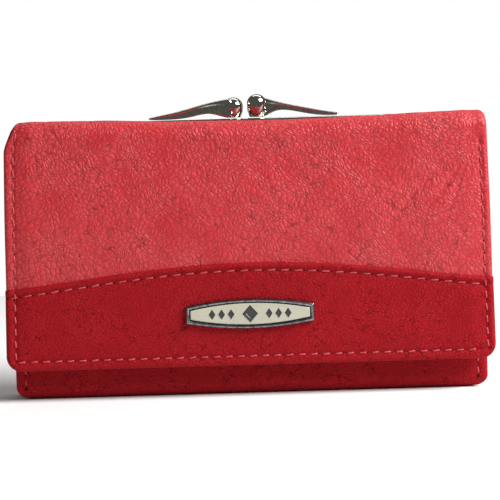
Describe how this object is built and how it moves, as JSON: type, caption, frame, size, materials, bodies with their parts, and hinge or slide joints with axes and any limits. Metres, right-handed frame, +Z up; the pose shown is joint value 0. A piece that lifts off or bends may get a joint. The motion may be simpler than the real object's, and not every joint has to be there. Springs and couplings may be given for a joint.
{
  "type": "coin purse",
  "caption": "Small leather purse: an unfolding front flap over card and note pockets, with a kiss-lock coin pouch behind that opens on a metal frame.",
  "frame": {"origin": "on the standing surface, under the middle of the purse's box", "axes": "+X to the right seen from the flap, +Y from the flap towards the coin pouch, +Z up"},
  "size_m": [0.1448, 0.035, 0.0896],
  "materials": {
    "flap_leather": "semi-gloss pebbled",
    "band_leather": "semi-gloss fine grain",
    "body_leather": "semi-gloss fine grain",
    "lining": "matt twill",
    "board": "matt",
    "polished_nickel": "polished",
    "gunmetal": "gloss",
    "enamel": "satin",
    "thread": "satin twisted thread"
  },
  "bodies": {
    "root": {"outer_leather": "body_leather", "card_pocket_middle": "body_leather", "card_pocket_upper": "body_leather", "front_wall_lining": "lining", "note_gusset_left": "lining", "note_gusset_right": "lining", "middle_wall": "flap_leather", "middle_wall_lining": "lining", "pouch_front": "body_leather", "pouch_front_lining": "lining", "pouch_lining_lower": "lining", "pouch_back_fold": "body_leather", "pouch_gusset_left": "lining", "pouch_gusset_right": "lining", "front_jaw": "polished_nickel", "front_clasp_arm": "polished_nickel", "hinge_rivet_left": "polished_nickel", "hinge_rivet_right": "polished_nickel", "snap_stud": "polished_nickel", "snap_stud_washer": "polished_nickel"},
    "flap_spine": {"spine_leather": "flap_leather", "spine_lining": "lining"},
    "flap": {"flap_leather": "flap_leather", "flap_band": "band_leather", "flap_stiffener": "board", "flap_lining": "lining", "plate_bezel": "gunmetal", "plate_inlay": "enamel", "plate_washer_left": "polished_nickel", "plate_washer_right": "polished_nickel", "snap_cap": "polished_nickel", "snap_socket": "polished_nickel"},
    "rear_jaw": {"rear_jaw": "polished_nickel", "rear_clasp_arm": "polished_nickel", "pouch_back_upper": "body_leather", "pouch_lining_upper": "lining"}
  },
  "joints": [
    {"name": "rear_fold", "type": "hinge", "parent": "root", "child": "flap_spine", "pos_m": [0, 0.0018, 0.082], "axis": [-1, 0, 0], "range_deg": [0, 90]},
    {"name": "flap_fold", "type": "hinge", "parent": "flap_spine", "child": "flap", "pos_m": [0, -0.0137, 0.082], "axis": [-1, 0, 0], "range_deg": [0, 90]},
    {"name": "frame_hinge", "type": "hinge", "parent": "root", "child": "rear_jaw", "pos_m": [0, 0.00665, 0.052], "axis": [-1, 0, 0], "range_deg": [0, 60], "deforming": ["pouch_back_fold", "pouch_gusset_left", "pouch_gusset_right"]}
  ],
  "couplings": [
    {"joint": "rear_fold", "follows": "flap_fold", "ratio": 1}
  ]
}
